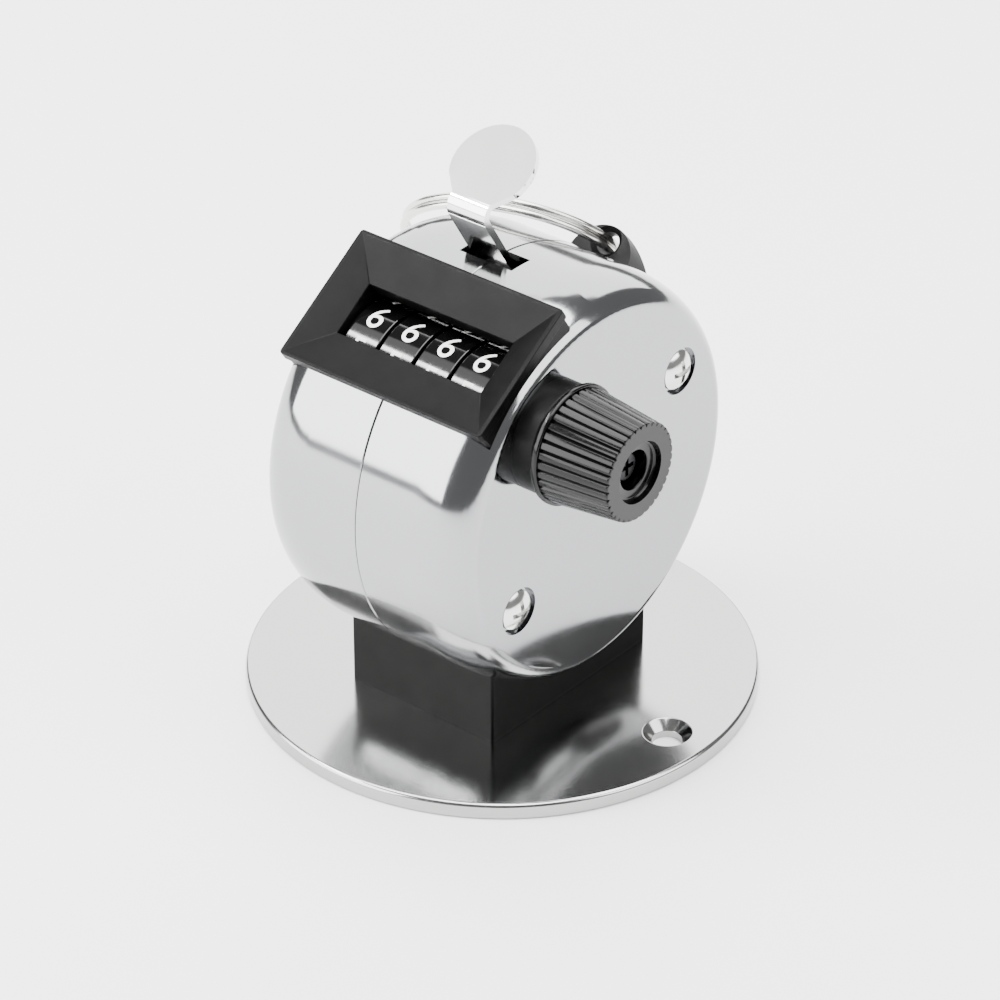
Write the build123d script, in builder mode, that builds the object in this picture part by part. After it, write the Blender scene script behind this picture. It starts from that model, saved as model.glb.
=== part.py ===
"""Desk tally counter: a round drum case on a screwed-down base, with a thumb lever, four number
wheels behind a window, a reset knob and a split ring.

Frame: origin at the bottom centre of the base plate, +X towards the knob, -Y towards the window
side (the front), +Z up. Millimetres."""
from build123d import *
import os
from math import cos, radians, sin

os.makedirs("parts", exist_ok=True)

# ---------------------------------------------------------------- driving dimensions
base_radius = 27.5
base_thickness = 1.8
base_hole_spacing = 44.8      # the two fixing holes for the desk, in line along X
base_hole_radius = 1.6
base_sink_radius = 2.6
base_top_round = 0.5
base_foot_break = 0.25

drum_radius = 22.4            # outside of the pressed case
drum_half_width = 13.75
drum_y = -0.9                 # the case's axis runs along X, this far from the base's middle
drum_lift = 4.3               # gap between the base plate and the case
wall = 0.7
shoulder_along = 6.5          # the elliptical shoulder, measured along the axis
shoulder_in = 3.0             # and measured towards the axis
seam_half_gap = 0.04
seam_break = 0.1

pedestal_width = 19.4
pedestal_depth = 25.5
pedestal_y = -0.45
pedestal_corner = 0.35
saddle_rise = 5.0             # how far the pedestal reaches up round the case
tie_screw_radius = 1.45       # the two long screws from under the base
tie_screw_spacing = 12.0
screw_clearance = 0.15
recess_length = 3.4           # cross recess in each tie screw's head
recess_width = 0.6
recess_depth = 0.7
anchor_thickness = 3.6
anchor_width = 12.0
anchor_length = 17.0

window_lean = 56.0            # the window face's normal, degrees above the horizontal
bezel_width = 26.5
bezel_height = 15.7
bezel_proud = 0.1             # how far its front face stands out past the case's radius
bezel_rise = 0.6              # its centre's offset up its own slope
bezel_plate = 1.2
bezel_step = 0.25
bezel_depth = 3.2
bezel_rim = 0.55
funnel_depth = 1.3
opening_width = 18.9
opening_height = 6.1
bezel_fit = 0.03
bezel_corner = 0.4
bezel_edge_round = 0.15
wheel_clearance = 0.3

wheel_setback = 2.09          # the number wheels' rims behind the window's face
shaft_drop = 1.68             # their axis, down-slope of the window's middle
shaft_radius = 1.0
wheel_radius = 6.9
wheel_width = 4.3
wheel_pitch = 4.7
gear_recess = 1.65            # depth of each side's recess
rim_thickness = 0.9
rim_round = 0.12
shaft_tail = 0.75             # its end, past the left frame plate
shaft_groove_width = 0.5
shaft_groove_depth = 0.3
clip_radius = 2.2
clip_thickness = 0.4
shaft_collar_radius = 2.4
end_play = 0.1
running = 0.04                # radial clearance of every shaft in its hole

gear_inset = 1.9              # carry gears: the ring gear's pitch circle, inside the wheel's rim
ring_teeth = 20
pinion_teeth = 6
pinion_width = 1.15
star_width = 0.85
pinion_clearance = 0.2        # between its teeth and the wheel's hub
pinion_side_gap = 0.08
carrier_thickness = 0.2
carrier_inset = 1.1
carrier_rod_radius = 1.2
carrier_rim = 1.0
rod_clearance = 0.73          # between the wheels and the carrier rod
rod_angle = -13.0             # its direction from the shaft, from the horizontal
carry_tooth_height = 0.45
tooth_root = 0.2              # how far each tooth is sunk in its rim

ratchet_teeth = 10
ratchet_inset = 1.1
ratchet_tooth_depth = 1.1
ratchet_thickness = 0.9
pawl_clearance = 0.15
pawl_width = 0.7
leaf_thickness = 0.3          # the back stop's leaf spring
leaf_angle = -42.0            # where its tip stands at the ratchet

plate_gap = 0.3               # between the ratchet and the frame plate
plate_thickness = 1.0
plate_boss = 4.5              # the frame plate's rounding at the shaft
plate_pivot_boss = 1.9
plate_post_rim = 1.2
post_radius = 2.0
post_bore_radius = 1.2
post_inset = 6.98             # tie posts, in from the case's radius
post_angle = 32.3             # and above the horizontal at the back, below it at the front
pillar_radius = 1.4
shell_clearance = 0.15

head_radius = 2.2             # case screws
head_height = 1.15
dimple_radius = 2.6
dimple_depth = 0.6
screw_reach = 9.0
cross_length = 2.6
cross_width = 0.55
cross_depth = 0.7

collar_radius = 5.95          # fixed collar under the knob
collar_length = 2.7
collar_sink = 0.6             # how deep its rim is cut to the case's shoulder
collar_round = 0.3
spigot_radius = 3.0
knob_gap = 0.2
knob_length = 8.75
flange_radius = 6.45
flange_width = 0.65
knob_root_radius = 6.15
knob_end_radius = 5.3
flute_count = 36
flute_depth = 0.3
flute_offset = 0.12           # its cutter's centre, outside the barrel
knob_dish_radius = 3.4
knob_dish_depth = 0.8
knob_pit_radius = 2.1
knob_pit_depth = 2.6
knob_screw_head = 1.6
knob_screw_height = 0.9
knob_screw_round = 0.3
knob_cross_length = 2.1
knob_cross_width = 0.5
knob_screw_radius = 0.5
knob_screw_reach = 3.0

pivot_clearance = 0.325       # between the wheels and the lever's hub
pivot_angle = 62.6            # the lever pivot's direction from the shaft, from the horizontal
pivot_radius = 0.6
lever_hub_radius = 1.3
lever_width = 4.9
lever_x = -1.2
sheet = 0.8
slot_y = -0.5                 # where the stem passes the top of the case
stem_lean = 29.7              # degrees forward from the vertical
pad_radius = 4.75
pad_y = 0.08
pad_height = 9.4              # the pad's middle above the top of the case
pad_slope = 35.6
bend_radius = 1.3
elbow_radius = 0.7
arm_start = 0.9               # where the arm leaves the pivot's hub
pad_neck = 3.2                # length of the pad's straight neck above the bend
slot_gap_left = 0.15          # the slot's room round the stem
slot_gap_right = 1.8
slot_gap_front = 1.75
slot_gap_back = 1.25
tab_drop = 2.6                # the spring tab's depth below the top of the case

spring_radius = 1.45
spring_wire = 0.4
spring_turns = 6
spring_length = 7.7
seat_height = 1.8
seat_depth = 3.5              # lever return spring's seat, behind the carriers
seat_clearance = 0.1
seat_peg = 1.5

lug_angle = 43.0              # ring lug, degrees above the horizontal at the back
lug_radius = 3.85
lug_length = 6.0
lug_skirt = 2.0               # how far its sides reach down round the case
lug_flat = 0.9                # level part of its back, before the slope
lug_neck = 2.6
lug_foot_width = 6.0
lug_foot_thickness = 1.0
lug_bore_height = 2.05
lug_bore_radius = 1.3
lug_bevel = 0.5

ring_radius = 11.8            # split ring, to the middle of its wire
ring_wire = 0.84
ring_pitch = 0.92
ring_turns = 2
ring_set_back = 1.6           # behind the lug's front face
ring_droop = 17.0             # its plane's angle below the tangent plane at the lug, at most
ring_clearance = 0.05         # least gap between it and the case

# ---------------------------------------------------------------- worked-out places
drum_z = base_thickness + drum_lift + drum_radius
drum_top_z = drum_z + drum_radius
drum_axis = Axis((0, drum_y, drum_z), (1, 0, 0))
inner_radius = drum_radius - wall
inner_half_width = drum_half_width - wall
anchor_top_z = drum_z - inner_radius + anchor_thickness
face_normal = Vector(0, -cos(radians(window_lean)), sin(radians(window_lean)))
face_up = Vector(0, sin(radians(window_lean)), cos(radians(window_lean)))
drum_centre = Vector(0, drum_y, drum_z)
bezel_plane = Plane(
    origin=drum_centre + face_normal * (drum_radius + bezel_proud) + face_up * bezel_rise,
    x_dir=(1, 0, 0),
    z_dir=face_normal,
)


def from_point(y, z, distance, angle):
    """The (y, z) place at a distance from a point, at an angle above the horizontal."""
    return y + distance * cos(radians(angle)), z + distance * sin(radians(angle))


posts = [
    from_point(drum_y, drum_z, side * (drum_radius - post_inset), post_angle) for side in (1, -1)
]
pillars = [(drum_y + 4.3, drum_z + 2.5), (drum_y - 6.1, drum_z - 2.0)]
shaft_place = (
    bezel_plane.origin - face_normal * (wheel_radius + wheel_setback) - face_up * shaft_drop
)
shaft_y, shaft_z = shaft_place.Y, shaft_place.Z
rim_inner_radius = wheel_radius - rim_thickness
ratchet_tip_radius = wheel_radius - ratchet_inset
ring_pitch_radius = wheel_radius - gear_inset
module = 2 * ring_pitch_radius / ring_teeth
pitch_radius = module * pinion_teeth / 2
pinion_y = shaft_y + ring_pitch_radius - pitch_radius
pinion_tip_radius = pitch_radius + 0.7 * module
hub_radius = ring_pitch_radius - pitch_radius - pinion_tip_radius - pinion_clearance
carrier_rod_y, carrier_rod_z = from_point(
    shaft_y, shaft_z, wheel_radius + rod_clearance + carrier_rod_radius, rod_angle
)
pivot_y, pivot_z = from_point(
    shaft_y, shaft_z, wheel_radius + pivot_clearance + lever_hub_radius, pivot_angle
)
seat_low_y = carrier_rod_y + carrier_rod_radius + carrier_rim + seat_clearance
spring_y = seat_low_y + seat_depth / 2
tab_reach = spring_y + spring_radius + spring_wire / 2
pad_z = drum_top_z + pad_height
tab_z = drum_top_z - tab_drop
seat_top_z = tab_z - sheet / 2 - spring_length
tie_screws = [(0, drum_y - tie_screw_spacing / 2), (0, drum_y + tie_screw_spacing / 2)]
wheel_xs = [wheel_pitch * step for step in (1.5, 0.5, -0.5, -1.5)]
ratchet_x = wheel_xs[0] + wheel_width / 2
plate_inner_x = ratchet_x + ratchet_thickness + plate_gap
out = Vector(0, cos(radians(lug_angle)), sin(radians(lug_angle)))
forward = Vector(0, -sin(radians(lug_angle)), cos(radians(lug_angle)))
lug_seat = drum_centre + out * drum_radius
lug_plane = Plane(origin=lug_seat, x_dir=(1, 0, 0), z_dir=forward)


def yz(x):
    """The plane across the drum's axis at x, with local (y, z)."""
    return Plane.YZ.offset(x)


def turned_drum(side, start, inset, edge_break):
    """Half of the case's outline, set in by a wall and turned about its axis.

    It runs from a gap at the seam to the end face on one side (+1 or -1)."""
    radius = drum_radius - inset
    half = drum_half_width - inset
    along = shoulder_along - inset
    depth = shoulder_in - inset
    with BuildPart(mode=Mode.PRIVATE) as half_drum:
        with BuildSketch(Plane(origin=drum_centre, x_dir=(side, 0, 0), z_dir=(0, -side, 0))):
            with BuildLine():
                Polyline(
                    (half, radius - depth),
                    (half, 0),
                    (start, 0),
                    (start, radius - edge_break),
                    (start + edge_break, radius),
                    (half - along, radius),
                )
                EllipticalCenterArc(
                    (half - along, radius - depth), along, depth, start_angle=0, arc_size=90
                )
            make_face()
        revolve(axis=drum_axis)
    return half_drum.part


def whole_drum(inset):
    """The whole case as one solid, for cutting what sits against it."""
    right_half = turned_drum(1, 0, inset, seam_break)
    left_half = turned_drum(-1, 0, inset, seam_break)
    with BuildPart(mode=Mode.PRIVATE) as solid:
        add(right_half)
        add(left_half)
        with BuildSketch(yz(-seam_break)):
            with Locations((drum_y, drum_z)):
                Circle(drum_radius - inset)
        extrude(amount=2 * seam_break)
    return solid.part


drum_outside = whole_drum(0)

# ---------------------------------------------------------------- base
with BuildPart() as base_plate:
    Cylinder(base_radius, base_thickness, align=(Align.CENTER, Align.CENTER, Align.MIN))
    fillet(base_plate.edges().group_by(Axis.Z)[-1], base_top_round)
    chamfer(base_plate.edges().group_by(Axis.Z)[0], base_foot_break)
    with Locations([(side * base_hole_spacing / 2, 0, base_thickness) for side in (-1, 1)]):
        CounterSinkHole(base_hole_radius, base_sink_radius, counter_sink_angle=90)
    with BuildSketch(Plane.XY):
        with Locations(tie_screws):
            Circle(tie_screw_radius + screw_clearance)
    extrude(amount=base_thickness, mode=Mode.SUBTRACT)
    with BuildSketch(Plane.XY):
        with Locations(tie_screws):
            Circle(2 * tie_screw_radius)
    extrude(amount=tie_screw_radius - screw_clearance, taper=45, mode=Mode.SUBTRACT)
base_plate.part.label = "base_plate"
export_step(base_plate.part, "parts/base_plate.step")

with BuildPart() as pedestal:
    with BuildSketch(Plane.XY.offset(base_thickness)):
        with Locations((0, pedestal_y)):
            RectangleRounded(pedestal_width, pedestal_depth, pedestal_corner)
    extrude(amount=drum_z - drum_radius + saddle_rise - base_thickness)
    add(drum_outside, mode=Mode.SUBTRACT)
    with BuildSketch(Plane.XY.offset(base_thickness)):
        with Locations(tie_screws):
            Circle(tie_screw_radius + screw_clearance)
    extrude(amount=drum_z - drum_radius, mode=Mode.SUBTRACT)
pedestal.part.label = "pedestal"
export_step(pedestal.part, "parts/pedestal.step")

with BuildPart() as anchor_bar:
    with BuildSketch(Plane.XY.offset(drum_z - inner_radius)):
        with Locations((0, drum_y)):
            Rectangle(anchor_width, anchor_length)
    extrude(amount=anchor_top_z - drum_z + inner_radius)
    with BuildSketch(yz(-anchor_width)):
        with Locations((drum_y, drum_z)):
            Circle(inner_radius - 0.02)
    extrude(amount=2 * anchor_width, mode=Mode.INTERSECT)
    with BuildSketch(Plane.XY):
        with Locations(tie_screws):
            Circle(tie_screw_radius)
    extrude(amount=anchor_top_z, mode=Mode.SUBTRACT)
anchor_bar.part.label = "anchor_bar"
export_step(anchor_bar.part, "parts/anchor_bar.step")

with BuildPart() as base_screws:
    with Locations([(x, y, 0) for x, y in tie_screws]):
        Cylinder(
            tie_screw_radius, anchor_top_z - 0.1, align=(Align.CENTER, Align.CENTER, Align.MIN)
        )
        Cone(
            2 * tie_screw_radius - 0.05,
            tie_screw_radius,
            tie_screw_radius - 0.05,
            align=(Align.CENTER, Align.CENTER, Align.MIN),
        )
        for length, width in ((recess_length, recess_width), (recess_width, recess_length)):
            Box(
                length,
                width,
                recess_depth,
                align=(Align.CENTER, Align.CENTER, Align.MIN),
                mode=Mode.SUBTRACT,
            )
base_screws.part.label = "base_screws"
export_step(base_screws.part, "parts/base_screws.step")


# ---------------------------------------------------------------- case shells
def bezel_prism(grow):
    """The space of the bezel's body and front plate, grown on every side, for cutting other pieces."""
    with BuildPart(mode=Mode.PRIVATE) as prism:
        for step, depth in ((bezel_step, bezel_depth), (0, bezel_plate)):
            with BuildSketch(bezel_plane.offset(-depth - grow)):
                Rectangle(
                    bezel_width - 2 * step + 2 * grow,
                    bezel_height - 2 * step + 2 * grow,
                )
            extrude(amount=2 * bezel_depth)
    return prism.part


def lug_neck_prism(grow):
    """The lug's neck, which the two shells clamp between them at the seam."""
    neck_plane = Plane(
        origin=lug_seat - forward * (lug_length / 2) - out * (wall + 2),
        x_dir=(1, 0, 0),
        z_dir=out,
    )
    with BuildPart(mode=Mode.PRIVATE) as neck:
        with BuildSketch(neck_plane):
            Rectangle(lug_neck + 2 * grow, lug_neck + 2 * grow)
        extrude(amount=wall + 2.3)
    return neck.part


bezel_hole = bezel_prism(bezel_fit)
bezel_relief = bezel_prism(shell_clearance)
neck_solid = lug_neck_prism(0)
lug_neck_hole = lug_neck_prism(0.02)


def shell(side):
    """One pressed half of the case; side is +1 at the knob and -1 away from it."""
    outside = turned_drum(side, seam_half_gap, 0, seam_break)
    inside = turned_drum(side, 0, wall, seam_half_gap / 2)
    with BuildPart(mode=Mode.PRIVATE) as half:
        add(outside)
        add(inside, mode=Mode.SUBTRACT)
        add(bezel_hole, mode=Mode.SUBTRACT)
        add(lug_neck_hole, mode=Mode.SUBTRACT)
        # the stem's slot in the top, and the tie screws' half holes in the bottom
        with BuildSketch(Plane.XY.offset(drum_z)):
            with Locations((lever_x - lever_width / 2 - slot_gap_left, slot_y - slot_gap_front)):
                Rectangle(
                    slot_gap_left + lever_width + slot_gap_right,
                    slot_gap_front + slot_gap_back,
                    align=(Align.MIN, Align.MIN),
                )
        extrude(amount=drum_radius, mode=Mode.SUBTRACT)
        with BuildSketch(Plane.XY):
            with Locations(tie_screws):
                Circle(tie_screw_radius + screw_clearance)
        extrude(amount=drum_z, mode=Mode.SUBTRACT)
    return half.part


left_half_shell = shell(-1)
right_half_shell = shell(1)

with BuildPart() as left_shell:
    add(left_half_shell)
left_shell.part.label = "left_shell"
export_step(left_shell.part, "parts/left_shell.step")

with BuildPart() as right_shell:
    add(right_half_shell)
    # dimples for the screw heads, backed by thicker metal inside
    with BuildSketch(yz(inner_half_width - dimple_depth)):
        with Locations(posts):
            Circle(dimple_radius + wall)
    extrude(amount=dimple_depth + wall / 2)
    with BuildSketch(yz(drum_half_width - dimple_depth)):
        with Locations(posts):
            Circle(dimple_radius)
    extrude(amount=dimple_depth + 1, mode=Mode.SUBTRACT)
    with BuildSketch(yz(0)):
        with Locations(posts):
            Circle(post_bore_radius + 0.1)
    extrude(amount=drum_half_width, mode=Mode.SUBTRACT)
    with BuildSketch(yz(0)):
        with Locations((shaft_y, shaft_z)):
            Circle(spigot_radius)
    extrude(amount=drum_half_width + 1, mode=Mode.SUBTRACT)
right_shell.part.label = "right_shell"
export_step(right_shell.part, "parts/right_shell.step")

post_end_x = inner_half_width - dimple_depth
with BuildPart() as tie_posts:
    with BuildSketch(yz(-inner_half_width)):
        with Locations(posts):
            Circle(post_radius)
    extrude(amount=inner_half_width + post_end_x)
    with BuildSketch(yz(post_end_x - screw_reach)):
        with Locations(posts):
            Circle(post_bore_radius)
    extrude(amount=screw_reach, mode=Mode.SUBTRACT)
tie_posts.part.label = "tie_posts"
export_step(tie_posts.part, "parts/tie_posts.step")

seat_x = drum_half_width - dimple_depth
head_rise = head_height * 2 / 3
head_dome_radius = (head_rise**2 + head_radius**2) / (2 * head_rise)
with BuildPart() as case_screws:
    for post_y, post_z in posts:
        with BuildSketch(Plane(origin=(seat_x, post_y, post_z), x_dir=(1, 0, 0), z_dir=(0, -1, 0))):
            with BuildLine():
                Polyline((head_height, 0), (0, 0), (0, head_radius), (head_height / 3, head_radius))
                RadiusArc((head_height / 3, head_radius), (head_height, 0), head_dome_radius)
            make_face()
        revolve(axis=Axis((0, post_y, post_z), (1, 0, 0)))
    with BuildSketch(yz(seat_x - screw_reach)):
        with Locations(posts):
            Circle(post_bore_radius)
    extrude(amount=screw_reach)
    with BuildSketch(yz(seat_x + head_height)):
        with Locations(posts):
            Rectangle(cross_length, cross_width)
            Rectangle(cross_width, cross_length)
    extrude(amount=-cross_depth, mode=Mode.SUBTRACT)
case_screws.part.label = "case_screws"
export_step(case_screws.part, "parts/case_screws.step")

# ---------------------------------------------------------------- window bezel
with BuildPart() as window_bezel:
    with BuildSketch(bezel_plane.offset(-bezel_plate)):
        RectangleRounded(bezel_width, bezel_height, bezel_corner)
    extrude(amount=bezel_plate)
    bezel_front = window_bezel.faces().sort_by(Axis(bezel_plane.origin, face_normal))[-1]
    fillet(bezel_front.edges(), bezel_edge_round)
    with BuildSketch(bezel_plane.offset(-bezel_depth)):
        Rectangle(bezel_width - 2 * bezel_step, bezel_height - 2 * bezel_step)
    extrude(amount=bezel_depth - bezel_plate)
    with BuildSketch(bezel_plane):
        Rectangle(bezel_width - 2 * bezel_rim, bezel_height - 2 * bezel_rim)
    with BuildSketch(bezel_plane.offset(-funnel_depth)):
        Rectangle(opening_width, opening_height)
    loft(mode=Mode.SUBTRACT)
    with BuildSketch(bezel_plane.offset(-bezel_depth)):
        Rectangle(opening_width, opening_height)
    extrude(amount=bezel_depth, mode=Mode.SUBTRACT)
    # the back is hollowed around the number wheels, and around the lever's hub
    with BuildSketch(yz(-plate_inner_x)):
        with Locations((shaft_y, shaft_z)):
            Circle(wheel_radius + wheel_clearance)
        with Locations((pivot_y, pivot_z)):
            Circle(lever_hub_radius + pawl_width / 2 + wheel_clearance)
    extrude(amount=2 * plate_inner_x, mode=Mode.SUBTRACT)
window_bezel.part.label = "window_bezel"
export_step(window_bezel.part, "parts/window_bezel.step")


# ---------------------------------------------------------------- inner frame
def frame_plate(side):
    """A pierced steel side plate that carries the shafts between the case's tie posts."""
    low = plate_inner_x if side > 0 else -plate_inner_x - plate_thickness
    holes = [
        (shaft_y, shaft_z, shaft_radius + running),
        (pivot_y, pivot_z, pivot_radius),
        (carrier_rod_y, carrier_rod_z, carrier_rod_radius),
    ]
    holes += [(y, z, post_radius) for y, z in posts]
    holes += [(y, z, pillar_radius) for y, z in pillars]
    with BuildPart(mode=Mode.PRIVATE) as plate:
        with BuildSketch(yz(low)):
            for y, z, radius in (
                (shaft_y, shaft_z, plate_boss),
                (pivot_y, pivot_z, plate_pivot_boss),
                (posts[0][0], posts[0][1], post_radius + plate_post_rim),
                (posts[1][0], posts[1][1], post_radius + plate_post_rim),
            ):
                with Locations((y, z)):
                    Circle(radius)
            make_hull()
            for y, z, radius in holes:
                with Locations((y, z)):
                    Circle(radius, mode=Mode.SUBTRACT)
        extrude(amount=plate_thickness)
        add(bezel_relief, mode=Mode.SUBTRACT)
    return plate.part


left_plate_blank = frame_plate(-1)
right_plate_blank = frame_plate(1)

with BuildPart() as left_frame_plate:
    add(left_plate_blank)
left_frame_plate.part.label = "left_frame_plate"
export_step(left_frame_plate.part, "parts/left_frame_plate.step")

with BuildPart() as right_frame_plate:
    add(right_plate_blank)
right_frame_plate.part.label = "right_frame_plate"
export_step(right_frame_plate.part, "parts/right_frame_plate.step")

plate_span = 2 * (plate_inner_x + plate_thickness)
with BuildPart() as frame_pillars:
    with BuildSketch(yz(-plate_span / 2)):
        with Locations(pillars):
            Circle(pillar_radius)
    extrude(amount=plate_span)
frame_pillars.part.label = "frame_pillars"
export_step(frame_pillars.part, "parts/frame_pillars.step")

with BuildPart() as carrier_rod:
    with BuildSketch(yz(-plate_span / 2)):
        with Locations((carrier_rod_y, carrier_rod_z)):
            Circle(carrier_rod_radius)
    extrude(amount=plate_span)
carrier_rod.part.label = "carrier_rod"
export_step(carrier_rod.part, "parts/carrier_rod.step")

with BuildPart() as lever_pin:
    with BuildSketch(yz(-plate_span / 2)):
        with Locations((pivot_y, pivot_z)):
            Circle(pivot_radius)
    extrude(amount=plate_span)
lever_pin.part.label = "lever_pin"
export_step(lever_pin.part, "parts/lever_pin.step")

with BuildPart() as spring_seat:
    with BuildSketch(yz(-plate_inner_x)):
        with Locations((spring_y, seat_top_z - seat_height / 2)):
            Rectangle(seat_depth, seat_height)
    extrude(amount=2 * plate_inner_x)
    with BuildSketch(Plane.XY.offset(seat_top_z)):
        with Locations((lever_x, spring_y)):
            Circle(spring_radius - spring_wire)
    extrude(amount=seat_peg)
spring_seat.part.label = "spring_seat"
export_step(spring_seat.part, "parts/spring_seat.step")

# ---------------------------------------------------------------- number wheels and carry
names = ["units", "tens", "hundreds", "thousands"]
ring_root_radius = ring_pitch_radius + 0.9 * module
ring_tip_radius = ring_pitch_radius - 0.7 * module
pinion_root_radius = pitch_radius - module
pinion_hub_radius = pinion_root_radius - 0.2 * module
pinion_phase = 180 / pinion_teeth      # a gap faces the ring gear's first tooth
ring_tooth = [
    (ring_root_radius + tooth_root, -0.8 * module),
    (ring_root_radius + tooth_root, 0.8 * module),
    (ring_tip_radius, 0.34 * module),
    (ring_tip_radius, -0.34 * module),
]
carry_tooth = [
    (rim_inner_radius + tooth_root, -0.35),
    (rim_inner_radius + tooth_root, 0.35),
    (rim_inner_radius - carry_tooth_height, 0.2),
    (rim_inner_radius - carry_tooth_height, -0.2),
]
pinion_tooth = [
    (pinion_root_radius - 0.2 * module, -0.76 * module),
    (pinion_tip_radius, -0.28 * module),
    (pinion_tip_radius, 0.28 * module),
    (pinion_root_radius - 0.2 * module, 0.76 * module),
]


def number_wheel(x, driven, carries):
    """A hollow number wheel: an internal ring gear in its right side and a carry pair in its left.

    The carry pair stands short of the star, so that each wheel also turns by itself."""
    right = x + wheel_width / 2
    left = x - wheel_width / 2
    with BuildPart(mode=Mode.PRIVATE) as wheel:
        with BuildSketch(yz(left)):
            with Locations((shaft_y, shaft_z)):
                Circle(wheel_radius)
                Circle(shaft_radius + running, mode=Mode.SUBTRACT)
        extrude(amount=wheel_width)
        with BuildSketch(yz(right - gear_recess)):
            with Locations((shaft_y, shaft_z)):
                Circle(ring_root_radius)
                if driven:
                    with PolarLocations(0, ring_teeth):
                        Polygon(*ring_tooth, align=None, mode=Mode.SUBTRACT)
                Circle(hub_radius, mode=Mode.SUBTRACT)
        extrude(amount=gear_recess, mode=Mode.SUBTRACT)
        with BuildSketch(yz(left)):
            with Locations((shaft_y, shaft_z)):
                Circle(rim_inner_radius)
                if carries:
                    with PolarLocations(0, 2, start_angle=150, angular_range=18, endpoint=True):
                        Polygon(*carry_tooth, align=None, mode=Mode.SUBTRACT)
                Circle(hub_radius, mode=Mode.SUBTRACT)
        extrude(amount=gear_recess, mode=Mode.SUBTRACT)
        circles = wheel.edges().filter_by(GeomType.CIRCLE)
        fillet(circles.filter_by(lambda rim: abs(rim.radius - wheel_radius) < 0.01), rim_round)
    return wheel.part


for name, wheel_x in zip(names, wheel_xs):
    wheel_blank = number_wheel(wheel_x, name != "units", name != "thousands")
    with BuildPart() as wheel:
        add(wheel_blank)
    wheel.part.label = name + "_wheel"
    export_step(wheel.part, "parts/" + name + "_wheel.step")

with BuildPart() as ratchet_wheel:
    with BuildSketch(yz(ratchet_x)):
        with BuildLine():
            corners = []
            for tooth in range(ratchet_teeth):
                angle = 360 / ratchet_teeth * tooth
                for radius, turn in (
                    (ratchet_tip_radius, angle),
                    (ratchet_tip_radius - ratchet_tooth_depth, angle + 6),
                ):
                    corners.append(
                        (shaft_y + radius * cos(radians(turn)), shaft_z + radius * sin(radians(turn)))
                    )
            Polyline(*corners, close=True)
        make_face()
        with Locations((shaft_y, shaft_z)):
            Circle(shaft_radius + running, mode=Mode.SUBTRACT)
    extrude(amount=ratchet_thickness)
ratchet_wheel.part.label = "ratchet_wheel"
export_step(ratchet_wheel.part, "parts/ratchet_wheel.step")

# between each wheel and the next, a thin carrier holds the carry pinion
for step, name in enumerate(names[1:]):
    gap_x = (wheel_xs[step] + wheel_xs[step + 1]) / 2
    with BuildPart() as carrier:
        with BuildSketch(yz(gap_x - carrier_thickness / 2)):
            with Locations((shaft_y, shaft_z)):
                Circle(wheel_radius - carrier_inset)
            with Locations((carrier_rod_y, carrier_rod_z)):
                Circle(carrier_rod_radius + carrier_rim)
            make_hull()
            with Locations((shaft_y, shaft_z)):
                Circle(shaft_radius + 0.1, mode=Mode.SUBTRACT)
            with Locations((carrier_rod_y, carrier_rod_z)):
                Circle(carrier_rod_radius, mode=Mode.SUBTRACT)
            with Locations((pinion_y, shaft_z)):
                Circle(pinion_hub_radius + running, mode=Mode.SUBTRACT)
        extrude(amount=carrier_thickness)
    carrier.part.label = name + "_carrier"
    export_step(carrier.part, "parts/" + name + "_carrier.step")

    with BuildPart() as pinion:
        with BuildSketch(yz(gap_x - carrier_thickness / 2 - pinion_side_gap)):
            with Locations((pinion_y, shaft_z)):
                Circle(pinion_root_radius)
                with PolarLocations(0, pinion_teeth, start_angle=pinion_phase):
                    Polygon(*pinion_tooth, align=None)
        extrude(amount=-pinion_width)
        with BuildSketch(yz(gap_x + carrier_thickness / 2 + pinion_side_gap)):
            with Locations((pinion_y, shaft_z)):
                Circle(pinion_root_radius)
                with PolarLocations(0, pinion_teeth // 2, start_angle=pinion_phase):
                    Polygon(*pinion_tooth, align=None)
        extrude(amount=star_width)
        with BuildSketch(yz(gap_x - carrier_thickness / 2 - pinion_side_gap)):
            with Locations((pinion_y, shaft_z)):
                Circle(pinion_hub_radius)
        extrude(amount=carrier_thickness + 2 * pinion_side_gap)
    pinion.part.label = name + "_carry_pinion"
    export_step(pinion.part, "parts/" + name + "_carry_pinion.step")

stop_clip = carrier_rod_radius + 1.5 * leaf_thickness
stop_radius = ratchet_tip_radius + pawl_clearance + leaf_thickness / 2
stop_tip = (
    shaft_y + stop_radius * cos(radians(leaf_angle)),
    shaft_z + stop_radius * sin(radians(leaf_angle)),
)
with BuildPart() as back_stop:
    # a leaf spring from a clip on the carrier rod to the edge of the ratchet
    with BuildSketch(yz(ratchet_x + pawl_clearance)):
        with BuildLine():
            Line((carrier_rod_y, carrier_rod_z - stop_clip + leaf_thickness / 2), stop_tip)
        trace(line_width=leaf_thickness)
        with Locations((carrier_rod_y, carrier_rod_z)):
            Circle(stop_clip)
            Circle(carrier_rod_radius, mode=Mode.SUBTRACT)
    extrude(amount=ratchet_thickness - 2 * pawl_clearance)
back_stop.part.label = "back_stop"
export_step(back_stop.part, "parts/back_stop.step")

# ---------------------------------------------------------------- drum shaft and reset knob
collar_end_x = drum_half_width + collar_length
knob_x = collar_end_x + knob_gap
knob_end_x = knob_x + knob_length
pit_floor_x = knob_end_x - knob_pit_depth
shaft_start_x = -plate_inner_x - plate_thickness - shaft_tail

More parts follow.
